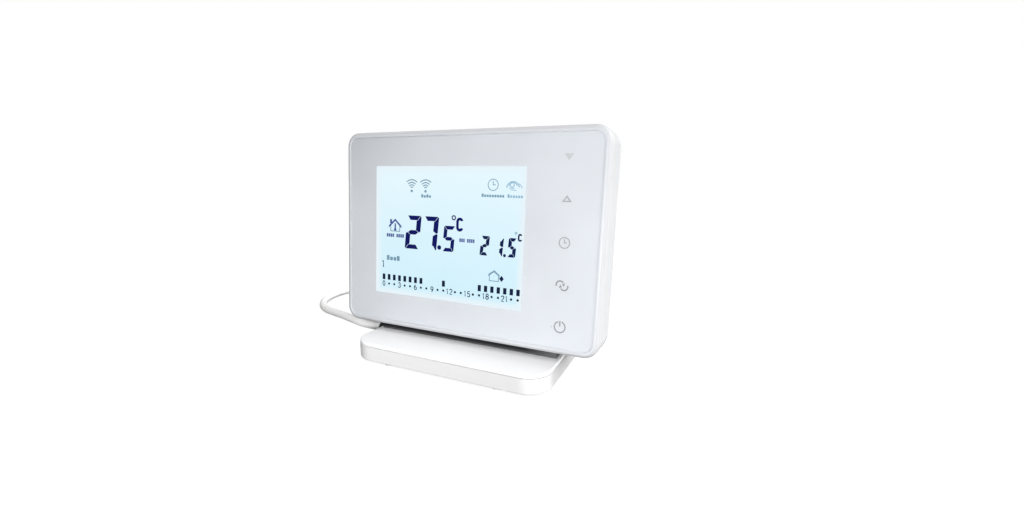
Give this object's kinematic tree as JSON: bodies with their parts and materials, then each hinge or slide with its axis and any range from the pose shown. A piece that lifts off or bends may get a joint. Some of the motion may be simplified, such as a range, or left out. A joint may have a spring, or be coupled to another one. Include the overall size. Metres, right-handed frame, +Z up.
{
  "type": "room thermostat on a desk stand",
  "caption": "Room thermostat with a touch glass front and a wide lit display. It lifts off a low desk stand that powers it through spring contacts from a thin white lead.",
  "frame": {"origin": "on the table, at the middle of the footprint of the thermostat and its stand", "axes": "+Z up, +X to the right of someone reading the display, the display faces -Y and leans back 5 degrees"},
  "size_m": [0.2202, 0.1424, 0.1146],
  "materials": {
    "white_case": "fine satin moulding",
    "front_glass": "polished glass, printed pale grey behind",
    "display": "pale blue lit display behind the glass",
    "light_guide": "clear acrylic",
    "frame_plastic": "plain moulding",
    "tape": "foam tape",
    "contact_rubber": "layered conductive rubber",
    "board": "solder mask over glass laminate",
    "component_black": "moulded epoxy",
    "component_metal": "tinned steel",
    "led": "clear resin",
    "steel": "plated",
    "contact_metal": "gold plated",
    "dock_black": "fine matt moulding",
    "foot_rubber": "matt",
    "cord_white": "smooth soft vinyl",
    "tie": "soft strap",
    "plug_white": "soft satin overmould",
    "wire_red": "vinyl"
  },
  "bodies": {
    "stand": {"stand_base": "white_case", "stand_cover": "white_case", "base_screws": "steel", "cradle_screws": "steel", "rubber_feet": "foot_rubber", "ballast_plate": "steel", "dock_cradle": "dock_black", "back_rest": "dock_black", "rest_screws": "steel", "pin_board": "board", "pin_barrels": "contact_metal", "pin_springs": "steel", "strain_relief": "dock_black", "stand_leads": "wire_red", "cord_lead": "cord_white", "cord_coil": "cord_white", "cord_tail": "cord_white", "cord_tie": "tie", "plug_grip": "plug_white", "plug_shell": "component_metal", "plug_tongue": "frame_plastic", "plug_contacts": "contact_metal"},
    "thermostat": {"front_shell": "white_case", "touch_glass": "front_glass", "glass_tape": "tape", "lcd_cell": "display", "light_guide": "light_guide", "display_frame": "frame_plastic", "contact_strip_upper": "contact_rubber", "contact_strip_lower": "contact_rubber", "backlight_leds": "led", "main_board": "board", "controller_chip": "component_black", "small_chips": "component_black", "radio_board": "board", "radio_shield": "component_metal", "buzzer": "component_black", "cell_holder": "component_black", "backup_cell": "component_metal", "cell_clip": "steel", "capacitors": "component_metal", "temperature_sensor": "component_black", "touch_springs": "steel", "board_screws": "steel", "rear_cover": "white_case", "case_screws": "steel", "dock_pads": "contact_metal", "pad_leads": "wire_red"},
    "pins": {"contact_pins": "contact_metal"}
  },
  "joints": [
    {"name": "thermostat_lift", "type": "slide", "parent": "stand", "child": "thermostat", "axis": [0, 0.0872, 0.9962], "range_m": [0, 0.06]},
    {"name": "pin_press", "type": "slide", "parent": "stand", "child": "pins", "axis": [0, 0.0872, 0.9962], "range_m": [-0.001, 0], "stiffness_N_per_m": 250, "springref_m": 0.0005}
  ]
}
